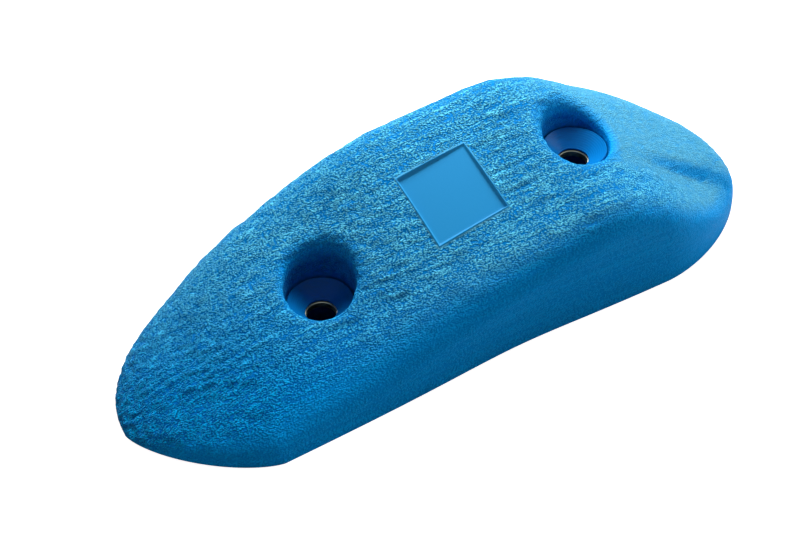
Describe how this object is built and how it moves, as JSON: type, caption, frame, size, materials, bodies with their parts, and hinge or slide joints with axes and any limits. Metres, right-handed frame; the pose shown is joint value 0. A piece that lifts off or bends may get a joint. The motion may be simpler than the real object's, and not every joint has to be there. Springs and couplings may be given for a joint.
{
  "type": "screw-on climbing hold",
  "caption": "Long, low moulded climbing hold with a flat back, a steep front side, a recessed square pad and countersunk screw wells with smooth seats on steel washers.",
  "frame": {"origin": "on the flat back, midway between the screw holes", "axes": "+X along the hold from its low nose to its blunt tail, -Y towards its steep front side, +Z away from the wall"},
  "size_m": [0.1549, 0.0596, 0.0369],
  "materials": {
    "moulded_skin": "moulded polyurethane with a grained, lightly striated skin",
    "smooth_seat": "smooth satin polyurethane with fine turning rings",
    "washer_steel": "plain pressed washer, dull"
  },
  "bodies": {
    "root": {"hold_body": "moulded_skin", "near_seat_cup": "smooth_seat", "far_seat_cup": "smooth_seat", "near_washer": "washer_steel", "far_washer": "washer_steel"}
  },
  "joints": []
}
